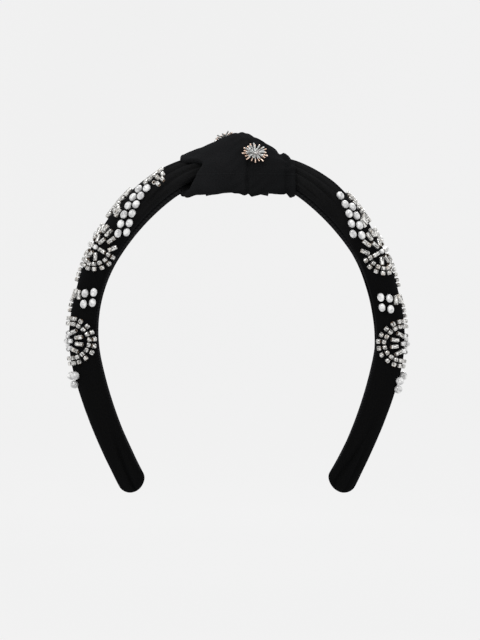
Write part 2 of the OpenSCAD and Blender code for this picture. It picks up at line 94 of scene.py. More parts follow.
class Mat:
    """A material with a Principled shader, and short ways to add nodes to it. Wherever a value is
    given, it is either a node's output, which is linked, or a number or colour, which is set."""

    def __init__(self, name, **values):
        self.material = bpy.data.materials.new(name)
        self.material.use_nodes = True
        self.tree = self.material.node_tree
        self.shader = self.tree.nodes["Principled BSDF"]
        for key, value in values.items():
            self.feed(key.replace("_", " "), value)

    def put(self, value, socket):
        if hasattr(value, "links"):
            self.tree.links.new(value, socket)
        else:
            socket.default_value = value

    def feed(self, name, value):
        """Gives one of the shader's own sockets its value."""
        self.put(value, self.shader.inputs[name])

    def node(self, kind, **values):
        """A new node; its sockets and settings are named with _ for a space."""
        n = self.tree.nodes.new("ShaderNode" + kind)
        for key, value in values.items():
            socket = key.replace("_", " ")
            if socket in n.inputs:
                self.put(value, n.inputs[socket])
            else:
                setattr(n, key, value)
        return n

    def coords(self, kind="Object", scale=(1, 1, 1)):
        place = self.node("TexCoord").outputs[kind]
        return self.node("Mapping", Vector=place, Scale=scale).outputs["Vector"]

    def noise(self, place, scale, detail=3.0, rough=0.5):
        return self.node("TexNoise", Vector=place, Scale=scale, Detail=detail, Roughness=rough).outputs["Fac"]

    def ramp(self, value, stops):
        """A colour ramp from (place, colour) stops; a colour that is one number is a grey."""
        n = self.node("ValToRGB", Fac=value)
        elements = n.color_ramp.elements
        while len(elements) < len(stops):
            elements.new(0.5)
        for element, (place, colour) in zip(elements, stops):
            element.position = place
            element.color = (*colour, 1) if isinstance(colour, tuple) else (colour, colour, colour, 1)
        return n.outputs["Color"]

    def calc(self, operation, a, b):
        n = self.node("Math", operation=operation)
        self.put(a, n.inputs[0])
        self.put(b, n.inputs[1])
        return n.outputs[0]

    def add(self, a, b):
        return self.calc("ADD", a, b)

    def times(self, a, b):
        return self.calc("MULTIPLY", a, b)

    def mix(self, blend, factor, a, b):
        n = self.node("Mix", data_type="RGBA", blend_type=blend)
        for value, socket in ((factor, MIX_FACTOR), (a, MIX_A), (b, MIX_B)):
            self.put(value, n.inputs[socket])
        return n.outputs[MIX_RESULT]

    def bump(self, height, strength, distance):
        n = self.node("Bump", Strength=strength, Distance=distance, Height=height)
        self.feed("Normal", n.outputs["Normal"])


def crepe(name, low, high, far_shade_share):
    """Matt woven cloth with painted shade that darkens it away from the knot; the last argument is the share
    of its lightness that is left far from the knot.
    """
    m = Mat(name, Sheen_Weight=0.02, Sheen_Roughness=0.4, Sheen_Tint=(0.6, 0.62, 0.68, 1),
            Specular_IOR_Level=0.0)
    uv = m.coords("UV")
    warp, weft = [m.node("TexWave", Vector=uv, Scale=0.78, Distortion=0.6, Detail=1.0, Detail_Scale=2.0,
                         bands_direction=way).outputs["Fac"] for way in "XY"]
    weave = m.times(warp, weft)
    grain = m.noise(uv, 1.6, 4.0, 0.6)
    pebble = m.noise(uv, 0.5, 2.0, 0.5)
    cloth = m.ramp(m.add(m.times(weave, 0.5), m.times(grain, 0.5)), [(0.2, low), (0.75, high)])
    along = m.node("SeparateXYZ", Vector=uv).outputs["X"]
    wear = m.noise(m.coords(), 95.0, 3.0, 0.55)
    # painted shade: the cloth darkens with its distance from the knot along the texture, with random patches
    # mixed in
    shade_and_wear = m.add(m.times(along, 0.006), m.times(m.add(wear, -0.5), 0.3))
    m.feed("Base Color", m.mix("MULTIPLY", 1.0, cloth, m.ramp(shade_and_wear, [(0.1, 1.0), (0.42, far_shade_share)])))
    m.feed("Roughness", m.ramp(pebble, [(0.3, 0.72), (0.7, 0.9)]))
    m.bump(m.add(m.times(weave, 0.5), m.add(grain, m.times(pebble, 1.2))), 0.55, 0.00022)
    return m.material


def ribbon(name):
    """The fine ribbed ribbon along the inside of the band."""
    m = Mat(name, Sheen_Weight=0.01, Sheen_Roughness=0.4, Specular_IOR_Level=0.0)
    place = m.coords()
    ribs = m.node("TexWave", Vector=place, Scale=260.0, Distortion=0.3, Detail=1.0,
                  bands_direction="Z").outputs["Fac"]
    fibre = m.noise(place, 1800.0)
    m.feed("Base Color", m.ramp(m.add(m.times(ribs, 0.6), m.times(fibre, 0.4)),
                                [(0.2, (0.006, 0.006, 0.0066)), (0.8, (0.0125, 0.0127, 0.0135))]))
    m.feed("Roughness", m.ramp(fibre, [(0.3, 0.55), (0.7, 0.75)]))
    m.bump(m.add(ribs, m.times(fibre, 0.4)), 0.5, 0.0002)
    return m.material


def pearl(name):
    """A white pearl under a clear skin, with grey patches painted on as dark reflections."""
    m = Mat(name, Coat_Weight=1.0, Coat_Roughness=0.12, Specular_IOR_Level=0.6, Sheen_Weight=0.1)
    painted_reflection = m.noise(m.coords(), 560.0, 3.0, 0.6)
    fine = m.noise(m.coords(), 2600.0, 2.0)
    # the grey patches of the base colour are painted dark reflections
    m.feed("Base Color", m.ramp(painted_reflection, [(0.38, (0.40, 0.40, 0.405)), (0.5, (0.64, 0.64, 0.64)),
                                        (0.6, (0.88, 0.88, 0.87))]))
    m.feed("Roughness", m.ramp(fine, [(0.3, 0.2), (0.7, 0.32)]))
    m.bump(fine, 0.12, 0.0001)
    return m.material


def lined_glass(name, dark, light, warm):
    """Clear glass with a silver lining and a warm tint here and there; its bright streaks are painted
    highlights over the lining's own streaky silver, and its near-black gaps are painted shade.
    """
    m = Mat(name, Coat_Weight=0.8, Coat_Roughness=0.05, Metallic=0.6)
    place = m.coords()
    run = m.noise(m.coords("UV", (2.6, 0.5, 1.0)), 1.0, 3.0, 0.6)
    grit = m.noise(place, 1700.0, 3.0, 0.6)
    patch = m.noise(place, 380.0, 2.0)
    glints_and_lining = m.add(m.times(run, 0.62), m.times(grit, 0.38))
    between = tuple(0.45 * a + 0.55 * b for a, b in zip(light, dark))
    # painted highlights and painted shade: the streaks run from near black to near white over the lining's
    # own unevenness
    glints_and_shade = m.ramp(glints_and_lining, [(0.43, dark), (0.5, between), (0.565, light)])
    m.feed("Base Color", m.mix("MIX", m.ramp(patch, [(0.55, 0.0), (0.75, 0.6)]), glints_and_shade, (*warm, 1)))
    m.feed("Roughness", m.ramp(glints_and_lining, [(0.4, 0.36), (0.6, 0.14)]))
    m.bump(glints_and_lining, 0.3, 0.00015)
    return m.material


def metal(name, low, high):
    """Polished metal with faint scuffs."""
    m = Mat(name, Metallic=1.0)
    scuff = m.noise(m.coords(), 900.0)
    m.feed("Base Color", m.ramp(scuff, [(0.35, low), (0.65, high)]))
    m.feed("Roughness", m.ramp(scuff, [(0.3, 0.2), (0.7, 0.35)]))
    m.bump(scuff, 0.1, 0.0001)
    return m.material


def grained(name, low, high, rough, scale, bump=0.3):
    """A plain stuff whose colour and roughness follow one grain."""
    m = Mat(name)
    grain = m.noise(m.coords(), scale, 4.0, 0.6)
    m.feed("Base Color", m.ramp(grain, [(0.3, low), (0.7, high)]))
    m.feed("Roughness", m.ramp(grain, [(0.3, rough), (0.7, min(1.0, rough + 0.15))]))
    m.bump(grain, bump, 0.0002)
    return m.material


MATERIALS = {
    # Both crepes carry painted shade that darkens them away from the knot; the last number is how much of
    # their lightness it leaves. The knot's crepe is a lighter copy of the same black cloth, and its extra
    # lightness is painted light on the knot, which sits on top.
    "black_crepe": crepe("black_crepe", (0.0063, 0.0063, 0.0065), (0.0180, 0.0181, 0.0187), 0.43),
    "knot_crepe": crepe("knot_crepe", (0.0085, 0.0087, 0.0093), (0.0225, 0.0229, 0.0243), 0.62),
    "lining_ribbon": ribbon("lining_ribbon"),
    "pearl": pearl("pearl"),
    "seed_glass": lined_glass("seed_glass", (0.035, 0.033, 0.03), (0.95, 0.94, 0.91), (0.42, 0.34, 0.26)),
    "bugle_glass": lined_glass("bugle_glass", (0.045, 0.042, 0.038), (0.97, 0.96, 0.93), (0.46, 0.38, 0.27)),
    "crystal": lined_glass("crystal", (0.07, 0.075, 0.07), (0.80, 0.82, 0.80), (0.5, 0.42, 0.40)),
    "silver_metal": metal("silver_metal", (0.22, 0.22, 0.22), (0.84, 0.83, 0.82)),
    "gold_metal": metal("gold_metal", (0.50, 0.32, 0.23), (0.98, 0.80, 0.68)),
    "core_plastic": grained("core_plastic", (0.6, 0.59, 0.55), (0.75, 0.74, 0.7), 0.45, 300.0),
    "padding_foam": grained("padding_foam", (0.45, 0.42, 0.35), (0.7, 0.66, 0.56), 0.85, 1500.0, 0.8),
    "thread": grained("thread", (0.4, 0.4, 0.4), (0.75, 0.75, 0.74), 0.6, 3000.0),
    "hole": grained("hole", (0.07, 0.05, 0.035), (0.30, 0.205, 0.13), 0.4, 900.0),
}

for node, obj in NODES.items():
    if not obj.data.materials:
        obj.data.materials.append(MATERIALS[SLOT[node]])
    for material_slot in obj.material_slots:
        material_slot.material = MATERIALS[SLOT[node]]

# ---------------------------------------------------------------- the band's own shape, in mm
# The sides of the band are 1 for the right and -1 for the left. A place on the band is t, the distance
# along it from the crown, and phi, the angle round it from its crest to the front, in degrees.
SIDES = {"right": 1, "left": -1}
MM = 0.001
DEG = 180 / math.pi
HEAD_R, SHOULDER_R, LOWER_R = 60.0, 98.0, 180.0
# how far the band has turned from the crown where one arc gives way to the next
SHOULDER, GRIP, GRIP_END, TURN_END = 39.0, 58.0, 102.0, 130.0
LENGTH = 168.0
TIP = 5.0
# the underside of the sleeve stands this far off the band's inner line
UNDERSIDE = 0.62
# a section is widest at this share of its height
WIDEST = 0.32
HALF_WIDTH = ((0, 17.4), (14, 17.8), (20, 18.9), (25, 19), (45, 16.5), (65, 13.75), (85, 11.3),
              (102, 9.5), (135, 8.15), (161, 6.2))
HEIGHT = ((0, 9.0), (12, 10), (18, 11.4), (26, 12.4), (36, 13.4), (46, 13.6), (66, 12.1), (84, 11.2),
          (102, 12.3), (112, 12.6), (125, 12.1), (144, 11.5), (161, 11.4))
# how far the rolled front and back edges hang below the ribbon, along each arm
DROOP = {
    1: ((22, 0.4), (50, 0.3), (66, 1.2), (78, 2.0), (90, 2.0), (102, 1.3), (112, 0.5), (135, 0.5),
        (150, 1.1), (165, 1.6)),
    -1: ((22, 0.4), (50, 0.3), (66, 0.7), (78, 1.0), (86, 0.5), (95, 0.3), (112, 0.5), (135, 0.8),
         (150, 1.2), (165, 1.0)),
}
# each gather: its angle round the band at the knot, how it drifts, how far it runs, width, depth
GATHERS = {
    1: ((30, -0.3, 56, 1.1, 1.3), (50, -0.05, 34, 1.1, 0.8), (68, 0.35, 44, 1.2, 1.05),
        (92, 0.5, 34, 1.3, 0.7), (-24, 0.2, 40, 1.3, 0.9), (-52, -0.1, 34, 1.3, 0.8),
        (-82, -0.4, 36, 1.4, 0.8), (4, 0.1, 26, 1.2, 0.6)),
    -1: ((14, -0.3, 28, 1.2, 0.7), (38, 0.1, 38, 1.1, 1.0), (56, 0.4, 44, 1.2, 1.2),
         (78, 0.8, 40, 1.3, 0.9), (-20, 0.1, 34, 1.3, 0.7), (-46, -0.2, 38, 1.3, 0.9),
         (-74, -0.5, 36, 1.4, 0.8)),
}
# creases in the cloth where it was pulled over each tip: angle at the tip, drift, depth
TIP_CREASES = {1: ((96, -0.9, 1.0), (50, 0.5, 0.5)), -1: ((72, 0.7, 1.1), (112, -0.3, 0.6))}


def sd(a):
    return math.sin(math.radians(a))


def cd(a):
    return math.cos(math.radians(a))


CROWN_R = (HEAD_R * sd(GRIP) - SHOULDER_R * (sd(GRIP) - sd(SHOULDER))) / sd(SHOULDER)
CROWN_Z = HEAD_R * cd(GRIP) + SHOULDER_R * (cd(SHOULDER) - cd(GRIP)) + CROWN_R * (1 - cd(SHOULDER))
ARCS = ((CROWN_R, 0, SHOULDER), (SHOULDER_R, SHOULDER, GRIP), (HEAD_R, GRIP, GRIP_END),
        (LOWER_R, GRIP_END, TURN_END))


def spine(t):
    """x, z and turn of the band's inner line at t."""
    x, z = 0.0, CROWN_Z
    for r, start, end in ARCS:
        length = r * (end - start) / DEG
        if t <= length or end == TURN_END:
            turn = start + t / r * DEG
            return x + r * (sd(turn) - sd(start)), z + r * (cd(turn) - cd(start)), turn
        x += r * (sd(end) - sd(start))
        z += r * (cd(end) - cd(start))
        t -= length


def lookup(t, rows):
    """The value at t between (place, value) rows."""
    if t <= rows[0][0]:
        return rows[0][1]
    for (t0, v0), (t1, v1) in zip(rows, rows[1:]):
        if t <= t1:
            return v0 + (v1 - v0) * (t - t0) / (t1 - t0)
    return rows[-1][1]


def soft(t, rows, w):
    """lookup with its corners rounded off, as the mean of five places up to 1.5 w away."""
    return sum(lookup(t + d * w, rows) for d in (-1.5, -0.75, 0, 0.75, 1.5)) / 5


def smooth(a, b, x):
    """Rises from 0 at a to 1 at b."""
    u = min(1.0, max(0.0, (x - a) / (b - a)))
    return u * u * (3 - 2 * u)


def bell(x, w):
    """1 at 0, fading out to each side over about twice w."""
    return math.exp(-(x / w) ** 2)


def crease(x, w):
    """A sharp valley with a soft bank on each side."""
    u = x / w
    return 0.45 * (bell(u - 1.9, 1.3) + bell(u + 1.9, 1.3)) - bell(u, 1)


def section(b, top, mid, base, phi):
    """A point of a section that is round above its widest line and fuller at the corners below."""
    s, c = sd(phi), cd(phi)
    if c >= 0:
        return b * s, mid + (top - mid) * c
    return b * math.copysign(math.sqrt(abs(s)), s), mid - (mid - base) * math.sqrt(abs(c))


def droop_shape(phi):
    """Where round the section the cloth hangs: the rolled front and back edges."""
    a = abs((phi + 180) % 360 - 180)
    return smooth(84, 122, a) * (1 - smooth(136, 162, a))


def band_section(t, phi, side):
    """A point of the sleeve's section at t: how far to the front, and how far off the inner line."""
    u = max(0.0, (t - (LENGTH - TIP)) / TIP)
    shrink = math.sqrt(max(0.0, 1 - u * u))
    top = soft(t, HEIGHT, 2.0)
    middle = (top + UNDERSIDE) / 2
    y, h = section(soft(t, HALF_WIDTH, 2.0) * shrink, top, WIDEST * top, UNDERSIDE, phi)
    h -= soft(t, DROOP[side], 2.0) * droop_shape(phi)
    return y, middle + (h - middle) * shrink


def across(before, after):
    """The unit vector at right angles to the way from one point of a section to another."""
    dy, dh = after[0] - before[0], after[1] - before[1]
    length = math.hypot(dy, dh) or 1
    return -dh / length, dy / length


# ---------------------------------------------------------------- meshes
def make_mesh(name, verts, faces, materials, uvs=None, slots=None, rounded=True):
    """An object from points in metres. uvs is flat, with two numbers for each corner of each face;
    slots says which material each face takes."""
    mesh = bpy.data.meshes.new(name)
    mesh.from_pydata(verts, [], faces)
    if uvs:
        mesh.uv_layers.new(name="UVMap").data.foreach_set("uv", uvs)
    for material in materials:
        mesh.materials.append(material)
    if slots:
        mesh.polygons.foreach_set("material_index", slots)
    mesh.polygons.foreach_set("use_smooth", [rounded] * len(faces))
    mesh.update()
    obj = bpy.data.objects.new(name, mesh)
    bpy.context.collection.objects.link(obj)
    return obj


def turn_outward(obj):
    """Turns the faces so that their normals point out of the form."""
    bm = bmesh.new()
    bm.from_mesh(obj.data)
    bmesh.ops.recalc_face_normals(bm, faces=bm.faces)
    bm.to_mesh(obj.data)
    bm.free()


def tube(name, rows, uvs, material, cap):
    """A skin from rings of points. Each row of uvs has one pair more than its ring, for the seam."""
    n = len(rows[0])
    verts = [p for row in rows for p in row]
    faces, flat = [], []
    for i in range(len(rows) - 1):
        here, there = i * n, (i + 1) * n
        a, b = uvs[i], uvs[i + 1]
        for j in range(n):
            k = (j + 1) % n
            faces.append((here + j, here + k, there + k, there + j))
            flat += [*a[j], *a[j + 1], *b[j + 1], *b[j]]
    if cap:
        faces.append(tuple(range(n - 1, -1, -1)))
        faces.append(tuple(range(len(verts) - n, len(verts))))
        flat += [0.0, 0.0] * (2 * n)
    obj = make_mesh(name, verts, faces, [material], flat)
    turn_outward(obj)
    return obj


# ---------------------------------------------------------------- the padded sleeves
SLEEVE_START = 6
SLEEVE_STEP = 0.8
SLEEVE_AROUND = 132
# rows that crowd together towards the end of the tip, as shares of its length
TIP_ROWS = (0.1, 0.22, 0.34, 0.45, 0.55, 0.64, 0.72, 0.79, 0.85, 0.9, 0.94, 0.97, 0.99, 0.998)


def sleeve_folds(side, t, phi):
    """How far the cloth stands off the smooth form, in mm: slow unevenness, gathers that fan out
    of the knot, and creases and small puckers at the tip."""
    q = noise.noise(Vector((t * 0.045 + 11 * side, phi * 0.021, 3.1 * side)))
    d = 0.16 * q + 0.07 * noise.noise(Vector((t * 0.16, phi * 0.06 + 7, side)))
    near = 1 - smooth(36, 50, t)
    if near > 0:
        for angle, lean, reach, w, depth in GATHERS[side]:
            fade = 1 - smooth(reach * 0.45, reach, t - 14)
            d += near * depth * fade * crease((phi - angle - lean * (t - 20)) * 0.3, w)
    end = smooth(LENGTH - 42, LENGTH - 14, t)
    if end > 0:
        for angle, lean, depth in TIP_CREASES[side]:
            off = (phi - angle - lean * (LENGTH - t)) * 0.13
            d += end * depth * (crease(off, 0.8) + 0.5 * bell(off - 2.6, 1.3))
    tip = smooth(LENGTH - 13, LENGTH - 3, t)
    if tip > 0:
        d += 0.22 * tip * math.sin(phi * 9 / DEG + 1.2 * side) * smooth(0, 0.5, 1.05 - (t - LENGTH + 13) / 13)
    return d


def make_sleeve(side, name):
    last = LENGTH - TIP
    places = [SLEEVE_START + SLEEVE_STEP * i for i in range(int((last - SLEEVE_START) / SLEEVE_STEP) + 1)]
    places += [last + TIP * u for u in TIP_ROWS]
    rows, uvs = [], []
    for t in places:
        x0, z0, turn = spine(t)
        points = [band_section(t, 360 * j / SLEEVE_AROUND, side) for j in range(SLEEVE_AROUND)]
        row, uv = [], []
        run = 0.0
        for j, (y, h) in enumerate(points):
            phi = 360 * j / SLEEVE_AROUND
            phi = phi if phi <= 180 else phi - 360
            after = points[(j + 1) % SLEEVE_AROUND]
            ny, nh = across(after, points[j - 1])
            if ny * y < 0 and abs(phi) < 170:
                ny, nh = -ny, -nh
            # the side that lies on the ribbon is almost smooth
            d = sleeve_folds(side, t, phi) * (0.25 if abs(phi) > 100 else 1)
            out = h + nh * d
            row.append((side * (x0 + out * sd(turn)) * MM, -(y + ny * d) * MM, (z0 + out * cd(turn)) * MM))
            # t, the distance from the crown, also places the painted shade that darkens the cloth away from
            # the knot
            uv.append((t, run))
            run += math.dist((y, h), after)
        uv.append((t, run))
        rows.append(row)
        uvs.append(uv)
    return tube(name, rows, uvs, MATERIALS["black_crepe"], cap=True)


# each sleeve's surface, for the beads to be seated on
SKIN = {}
for word, side in SIDES.items():
    sleeve = make_sleeve(side, "sleeve_" + word)
    SKIN[word] = BVHTree.FromObject(sleeve, bpy.context.evaluated_depsgraph_get())
    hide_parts("cover_" + word, "foam_" + word)
    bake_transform(sleeve)

# ---------------------------------------------------------------- the knot, in mm
# heights of the knot's crest, of its underside and of its hanging front edge, along x
KNOT_TOP = ((-24.5, 74.1), (-19.5, 77.0), (-10, 81.0), (-4, 83.8), (1.2, 85.2), (5, 84.2), (9, 82.1),
            (15, 78.9), (18, 76.2), (22, 73.8), (25, 72.6))
KNOT_BASE = ((-24.5, 59.0), (-12, 60.3), (0, 60.9), (12, 60.3), (24.5, 59.0))
KNOT_HEM = ((-24.5, 55.8), (-21, 55.5), (-17, 56.3), (-13, 56.3), (-11, 56.2), (-6, 57.0), (-3.6, 57.2),
            (-1.2, 56.9), (1, 57.1), (2.6, 56.6), (4.4, 56.0), (6.2, 56.0), (8.8, 56.2), (10.2, 56.5),
            (11.4, 56.9), (14, 56.8), (18, 56.7), (24.5, 56.0))
KNOT_MID = 66.5
# where the knot's cloth ends along x, by the angle from the crest; its left end only waves at the back
LEFT_EDGE = ((0, -24.2), (36, -24.2), (48, -23.2), (58, -19.0), (66, -14.8), (74, -14.3), (84, -15.8),
             (100, -18.6), (130, -21.8), (160, -23.4), (180, -23.5))
RIGHT_EDGE = ((0, 21.6), (25, 22.0), (45, 24.0), (70, 24.6), (180, 24.8))
BACK_EDGE = -23.6
CREASE_X = 4.9
# rows of the mesh: round the knot, along it, and round each rolled end
KNOT_AROUND, KNOT_ALONG, ROLL_ROWS = 220, 120, 9
# radius of the rolled ends, and how far their rims stand up
ROLL = 1.25
LEFT_RIM, RIGHT_RIM = 0.25, 1.04
# the ends run on inwards by these shares, towards this height in metres, so that nothing looks hollow
TURNED_IN = (0.35, 0.7)
KNOT_HEART = 0.0668
# the cloth's texture and its painted shade: mm a row, mm a degree, and how far from the knot it starts
UV_ROW, UV_DEGREE, UV_START = 0.4, 0.3, 40


def knot_point(x, phi, grow):
    """A point of the knot's cloth, grow above its usual place."""
    phis = (phi + 180) % 360 - 180
    a = abs(phis)
    top = soft(x, KNOT_TOP, 0.8)
    base = soft(x, KNOT_BASE, 1.0)
    b = 22.2 - 0.0022 * x * x - 0.6 * smooth(14, 24, abs(x))
    y, z = section(b, top, KNOT_MID, base, phi)
    ny, nz = across(section(b, top, KNOT_MID, base, phi - 1), section(b, top, KNOT_MID, base, phi + 1))
    if ny * math.sin(phis / DEG) < 0 or (a < 20 and nz < 0) or (a > 160 and nz > 0):
        ny, nz = -ny, -nz
    d = grow
    # the crease where the two loops meet, front and back, fading out over the crown
    bend = CREASE_X + 0.5 * math.sin(phis / 22) + 0.03 * (z - 66)
    depth = smooth(14, 40, a) * (1 - 0.6 * smooth(150, 180, a))
    d += depth * (0.75 * crease(x - bend, 0.75) + 0.3 * bell(x - bend + 2.4, 1.8))
    # a twist that crosses the crown from front right to back left, and two small folds at the peak
    d += (1 - smooth(24, 50, a)) * 0.9 * crease(x - 6.5 - phis * 0.16, 0.9)
    peak = bell(x - 1.5, 9) * (1 - smooth(34, 66, abs(phis - 18)))
    d += peak * 0.35 * crease(x - 2.2 - 0.12 * (phis - 20), 1.0)
    d += peak * 0.35 * crease(x + 3.6 - 0.05 * (phis - 20), 1.1)
    # slow unevenness, and shallow drag lines that run into the crease and round the ends
    d += 0.32 * noise.noise(Vector((x * 0.10 + phis * 0.012, phis * 0.035, 5.0)))
    d += 0.20 * noise.noise(Vector((x * 0.35, phis * 0.02, 1.7)))
    d += 0.28 * smooth(8, 22, abs(x)) * math.sin(phis * 0.24 + x * 0.35)
    d += 0.30 * (1 - smooth(2, 12, abs(x - CREASE_X))) * math.sin(phis * 0.33 + 0.9 * x) * smooth(20, 50, a)
    # the front edge hangs lower than the back one
    hang = (base - soft(x, KNOT_HEM, 0.35)) * droop_shape(phi) * (1.0 if phis > 0 else 0.3)
    return x, y + ny * d, z + nz * d - hang


def knot_cloth(i, phi):
    """The knot's cloth at row i; the rows below 0 and above KNOT_ALONG roll its two ends under."""
    a = phi if phi <= 180 else 360 - phi
    edge = soft(a, LEFT_EDGE, 3) if phi <= 180 else BACK_EDGE + 1.2 * math.sin(a / 30)
    left, right = edge + ROLL, soft(a, RIGHT_EDGE, 3) - ROLL
    if 0 <= i <= KNOT_ALONG:
        x = left + (right - left) * (i / KNOT_ALONG)
        rim = LEFT_RIM * bell(x - left, 2.2) + 1.1 * bell(x - right + 0.2, 0.85)
        return knot_point(x, phi, rim - 0.7 * bell(x - right + 2.4, 0.8))
    past = max(-i, i - KNOT_ALONG) / ROLL_ROWS * math.pi
    start, way, rim = (left, -1, LEFT_RIM) if i < 0 else (right, 1, RIGHT_RIM)
    _, y, z = knot_point(start, phi, rim - ROLL * (1 - math.cos(past)))
    return start + way * ROLL * math.sin(past), y, z


def drawn_in(row, share):
    """A row of the knot's cloth that has run on inwards."""
    kx, ky, kz = 1 - 0.55 * share, 1 - 0.06 * share, 1 - 0.1 * share
    return [(x * kx, y * ky, KNOT_HEART + (z - KNOT_HEART) * kz) for x, y, z in row]


def make_knot():
    angles = [360 * j / KNOT_AROUND for j in range(KNOT_AROUND + 1)]
    rows, uvs = [], []
    for i in range(-ROLL_ROWS, KNOT_ALONG + ROLL_ROWS + 1):
        points = [knot_cloth(i, phi) for phi in angles[:-1]]
        rows.append([(x * MM, -y * MM, z * MM) for x, y, z in points])
        uvs.append([(i * UV_ROW + UV_START, phi * UV_DEGREE) for phi in angles])
    first = [drawn_in(rows[0], share) for share in reversed(TURNED_IN)]
    last = [drawn_in(rows[-1], share) for share in TURNED_IN]
    uvs = [uvs[0]] * len(first) + uvs + [uvs[-1]] * len(last)
    return tube("knot_wrap", first + rows + last, uvs, MATERIALS["knot_crepe"], cap=False)


knot = make_knot()
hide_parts("knot_left_loop", "knot_right_loop", "foam_crown")
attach(knot, "crown")

# ---------------------------------------------------------------- beads, in mm
# a full turn, near enough for textures and for random turns
TURN = 6.28
# beads below this radius are seeds, among pearls too
PEARL_R = 1.02
# for each kind of bead: corners round it, its size against its CAD solid, how much it may tilt, and
# how far its centre stands off the cloth against its radius
AROUND = {"pearl": 20, "seed": 14, "bugle": 14}
GROW = {"pearl": 1.02, "seed": 1.08, "bugle": 1.03}
TILT = {"pearl": 0.05, "seed": 0.05, "bugle": 0.025}
SEAT = {"pearl": 0.8, "seed": 0.62, "bugle": 0.62}
# oval pearls are this much shorter and slimmer than their CAD solids
OVAL_LENGTH, OVAL_R = 0.97, 0.88
# the front of the lower rings is stretched by this share, from this distance to the side
RING_STRETCH, RING_X = 0.15, 70


def islands(obj):
    """The separate closed solids of a CAD node, each as an array of its points in mm."""
    mesh = obj.data
    co = np.empty(len(mesh.vertices) * 3)
    mesh.vertices.foreach_get("co", co)
    points, inverse = np.unique(np.round(co.reshape(-1, 3) * 1000, 4), axis=0, return_inverse=True)
    edges = np.empty(len(mesh.edges) * 2, dtype=np.int64)
    mesh.edges.foreach_get("vertices", edges)
    edges = inverse.reshape(-1)[edges].reshape(-1, 2)
    label = np.arange(len(points))
    while True:
        low = np.minimum(label[edges[:, 0]], label[edges[:, 1]])
        new = label.copy()
        np.minimum.at(new, edges[:, 0], low)
        np.minimum.at(new, edges[:, 1], low)
        new = new[new]
        if (new == label).all():
            return [points[label == island] for island in np.unique(label)]
        label = new


def bead_frame(points):
    """Centre, hole axis, half length and radius of a bead."""
    centre = points.mean(0)
    spreads, ways = np.linalg.eigh(np.cov((points - centre).T))
    odd = 0 if (spreads[1] - spreads[0]) > (spreads[2] - spreads[1]) else 2
    axis = ways[:, odd]
    along = (points - centre) @ axis
    centre = centre + axis * (along.max() + along.min()) / 2
    along = (points - centre) @ axis
    radial = np.linalg.norm((points - centre) - np.outer(along, axis), axis=1)
    return Vector(centre), Vector(axis).normalized(), float(along.max()), float(radial.max())


def bead_profile(kind, half, r):
    """The profile of a bead's wall as (along, radius) pairs, and how many of them are outside."""
    outside = []
    if kind == "pearl":
        for k in range(13):
            u = math.radians(-78 + 156 * k / 12)
            outside.append((half * math.sin(u) / sd(78), r * math.cos(u) ** 0.92))
        hole = [(half * 0.9, 0.14), (-half * 0.9, 0.14)]
    elif kind == "seed":
        for k in range(11):
            u = math.radians(-90 + 180 * k / 10)
            bulge = math.cos(u) ** 0.7 if abs(math.cos(u)) > 1e-6 else 0
            along = half * math.copysign(abs(math.sin(u)) ** 0.8, math.sin(u))
            outside.append((along, 0.62 * r + 0.38 * r * bulge))
        hole = [(half * 0.85, 0.46 * r), (-half * 0.85, 0.46 * r)]
    else:
        bevel = r / 9
        outside = [(-half, 0.6 * r), (-half, 0.86 * r), (-half + bevel, 0.97 * r), (-half + 2.4 * bevel, r),
                   (0, r), (half - 2.4 * bevel, r), (half - bevel, 0.97 * r), (half, 0.86 * r),
                   (half, 0.6 * r)]
        hole = [(half * 0.96, 0.52 * r), (-half * 0.96, 0.52 * r)]
    return outside + hole, len(outside)


def bead_mesh(name, beads, material, hole_material):
    """All the beads of a node as one piece, each a little tilted, turned and resized at random."""
    verts, faces, slots, uvs = [], [], [], []
    rng = random.Random(name)
    for kind, centre, axis, half, r in beads:
        n = AROUND[kind]
        profile, outside = bead_profile(kind, half, r)
        tilt = Vector((rng.uniform(-1, 1), rng.uniform(-1, 1), rng.uniform(-1, 1))) * TILT[kind]
        axis = (axis + tilt).normalized()
        u = axis.orthogonal().normalized()
        w = axis.cross(u)
        grow = GROW[kind] + rng.uniform(-0.03, 0.02)
        spin = rng.uniform(0, TURN)
        shift = rng.uniform(0, 90)
        base = len(verts)
        for along, radius in profile:
            for j in range(n):
                g = spin + 2 * math.pi * j / n
                p = centre + axis * along * grow + (u * math.cos(g) + w * math.sin(g)) * (radius * grow)
                verts.append(tuple(p * MM))
        for i in range(len(profile)):
            k = (i + 1) % len(profile)
            here, there = base + i * n, base + k * n
            a0, a1 = profile[i][0] + shift, profile[k][0] + shift
            for j in range(n):
                after = (j + 1) % n
                faces.append((here + j, here + after, there + after, there + j))
                slots.append(1 if i >= outside - 1 else 0)
                g0, g1 = TURN * j / n * r + shift, TURN * (j + 1) / n * r + shift
                uvs += [g0, a0, g1, a0, g1, a1, g0, a1]
    obj = make_mesh(name, verts, faces, [material, hole_material], uvs, slots)
    turn_outward(obj)
    return obj


def bead_kind(node, half, r):
    if node.startswith("rosette_centres") and r < PEARL_R:
        return "seed"
    if SLOT[node] == "pearl" and r > PEARL_R:
        return "pearl"
    return "bugle" if half > 1.2 * r or "bugle" in node else "seed"


